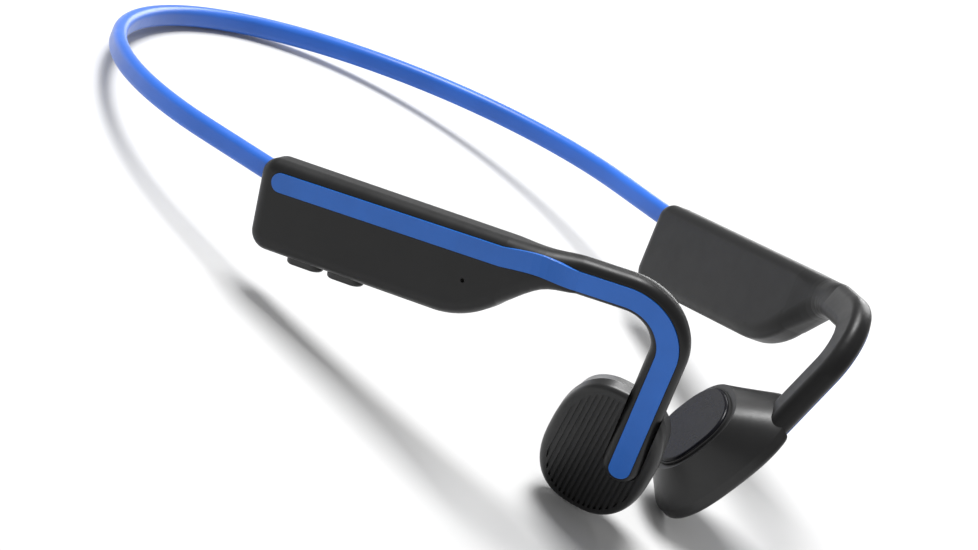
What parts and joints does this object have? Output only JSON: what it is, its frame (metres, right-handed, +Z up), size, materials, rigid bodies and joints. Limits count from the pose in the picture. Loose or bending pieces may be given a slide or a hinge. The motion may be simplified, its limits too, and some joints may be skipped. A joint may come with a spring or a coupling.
{
  "type": "bone conduction headphones",
  "caption": "Wraparound bone conduction headphones: two side pods with ear hooks and cheek transducers, joined by a flexible neckband, with buttons and a covered charging port.",
  "frame": {"origin": "Middle of the bounding box, on the surface that the headphones lie on.", "axes": "+Z up from that surface, +Y towards the nape of the neckband, +X towards the wearer's left side."},
  "size_m": [0.1176, 0.156, 0.0498],
  "materials": {
    "accent_blue": "satin moulded plastic",
    "band_blue": "satin silicone",
    "battery_foil": "laminated foil",
    "button_black": "moulded plastic",
    "circuit_board": "solder mask",
    "component_metal": "tinned metal",
    "copper": "enamelled copper",
    "foam": "closed-cell foam",
    "frame_nylon": "glass-filled nylon",
    "lead_insulation": "insulated leads",
    "light_pipe": "clear polycarbonate",
    "panel_gloss": "smooth dark skin",
    "plated_steel": "nickel-plated steel",
    "shell_black": "soft-touch moulded plastic",
    "soft_seal": "silicone",
    "spring_metal": "drawn titanium",
    "transducer_black": "soft-touch moulded plastic"
  },
  "bodies": {
    "left_side": {"left_outer_shell": "shell_black", "left_inner_shell": "shell_black", "left_accent_strip": "accent_blue", "left_band_anchor": "frame_nylon", "left_hook_wire": "spring_metal", "left_hook_leads": "lead_insulation", "left_microphone": "component_metal", "left_transducer_cover": "transducer_black", "left_transducer_housing": "transducer_black", "left_driver_frame": "frame_nylon", "left_magnet_yoke": "plated_steel", "left_driver_magnet": "plated_steel", "left_voice_coil": "copper", "left_spring_plate": "spring_metal", "left_vibration_panel": "panel_gloss", "left_panel_gasket": "soft_seal", "neckband_sleeve": "band_blue", "neckband_wire": "spring_metal", "neckband_leads": "lead_insulation", "multifunction_switch": "component_metal", "battery_cell": "battery_foil", "battery_foam": "foam", "battery_board": "circuit_board"},
    "right_side": {"right_outer_shell": "shell_black", "right_inner_shell": "shell_black", "right_accent_strip": "accent_blue", "right_band_anchor": "frame_nylon", "right_hook_wire": "spring_metal", "right_hook_leads": "lead_insulation", "right_microphone": "component_metal", "right_transducer_cover": "transducer_black", "right_transducer_housing": "transducer_black", "right_driver_frame": "frame_nylon", "right_magnet_yoke": "plated_steel", "right_driver_magnet": "plated_steel", "right_voice_coil": "copper", "right_spring_plate": "spring_metal", "right_vibration_panel": "panel_gloss", "right_panel_gasket": "soft_seal", "volume_switches": "component_metal", "main_board": "circuit_board", "board_shield": "plated_steel", "usb_shell": "plated_steel", "usb_tongue": "frame_nylon", "port_cover_anchor": "soft_seal", "led_light_pipe": "light_pipe", "antenna": "copper"},
    "volume_up": {"volume_up_button": "button_black"},
    "volume_down": {"volume_down_button": "button_black"},
    "multifunction": {"multifunction_button": "accent_blue"},
    "port_flap": {"port_cover": "soft_seal"}
  },
  "joints": [
    {"name": "band_spread", "type": "hinge", "parent": "left_side", "child": "right_side", "pos_m": [0, 0.07635, 0.00206], "axis": [0, -0.225, -0.9744], "range_deg": [-1.5, 30], "stiffness_Nm_per_rad": 0.55, "deforming": ["neckband_sleeve", "neckband_wire", "neckband_leads"]},
    {"name": "volume_up_press", "type": "slide", "parent": "right_side", "child": "volume_up", "axis": [-0.1338, 0.3437, 0.9295], "range_m": [0, 0.00035], "stiffness_N_per_m": 2000, "springref_m": -0.0007},
    {"name": "volume_down_press", "type": "slide", "parent": "right_side", "child": "volume_down", "axis": [-0.1338, 0.3437, 0.9295], "range_m": [0, 0.00035], "stiffness_N_per_m": 2000, "springref_m": -0.0007},
    {"name": "multifunction_press", "type": "slide", "parent": "left_side", "child": "multifunction", "axis": [-0.7499, 0.6237, 0.2205], "range_m": [0, 0.0003], "stiffness_N_per_m": 2000, "springref_m": -0.0007},
    {"name": "port_cover_fold", "type": "hinge", "parent": "right_side", "child": "port_flap", "pos_m": [-0.04586, -0.03161, 0.01767], "axis": [0.9524, 0.3039, 0.0248], "range_deg": [0, 110], "stiffness_Nm_per_rad": 0.002}
  ]
}
